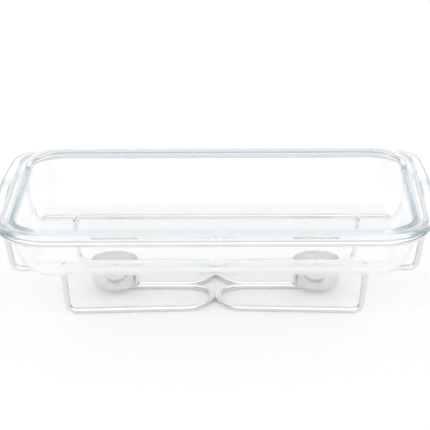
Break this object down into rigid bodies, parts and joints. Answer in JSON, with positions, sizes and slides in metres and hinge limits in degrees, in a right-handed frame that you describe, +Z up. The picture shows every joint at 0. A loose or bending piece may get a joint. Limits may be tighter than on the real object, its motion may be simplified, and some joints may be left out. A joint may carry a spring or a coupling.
{
  "type": "chafing dish",
  "caption": "Rectangular clear glass baking dish with lug handles, lifted out of a bent chrome wire stand whose loops carry metal cups with tealights that keep the food warm.",
  "frame": {"origin": "on the table, under the middle of the dish", "axes": "+X along the dish towards the right handle, +Y from the front to the rear, +Z up"},
  "size_m": [0.364, 0.225, 0.091],
  "materials": {
    "glass": "clear polished pressed glass with a faint blue-green edge tint",
    "wire": "bright plated steel wire",
    "cup": "polished drawn sheet steel",
    "shell": "thin bright foil",
    "wax": "white paraffin wax",
    "wick": "waxed cotton braid",
    "wick_base": "stamped tinplate"
  },
  "bodies": {
    "stand": {"top_rail": "wire", "front_leg_frame": "wire", "rear_leg_frame": "wire", "front_left_hanger": "wire", "front_right_hanger": "wire", "rear_left_hanger": "wire", "rear_right_hanger": "wire", "left_cup": "cup", "right_cup": "cup"},
    "dish": {"glass_dish": "glass"},
    "left_tealight": {"left_tealight_shell": "shell", "left_tealight_wax": "wax", "left_tealight_wick": "wick", "left_wick_base": "wick_base"},
    "right_tealight": {"right_tealight_shell": "shell", "right_tealight_wax": "wax", "right_tealight_wick": "wick", "right_wick_base": "wick_base"}
  },
  "joints": [
    {"name": "dish_lift", "type": "slide", "parent": "stand", "child": "dish", "axis": [0, 0, 1], "range_m": [0, 0.08]},
    {"name": "left_tealight_lift", "type": "slide", "parent": "stand", "child": "left_tealight", "axis": [0, 0, 1], "range_m": [0, 0.0185]},
    {"name": "right_tealight_lift", "type": "slide", "parent": "stand", "child": "right_tealight", "axis": [0, 0, 1], "range_m": [0, 0.0185]}
  ]
}
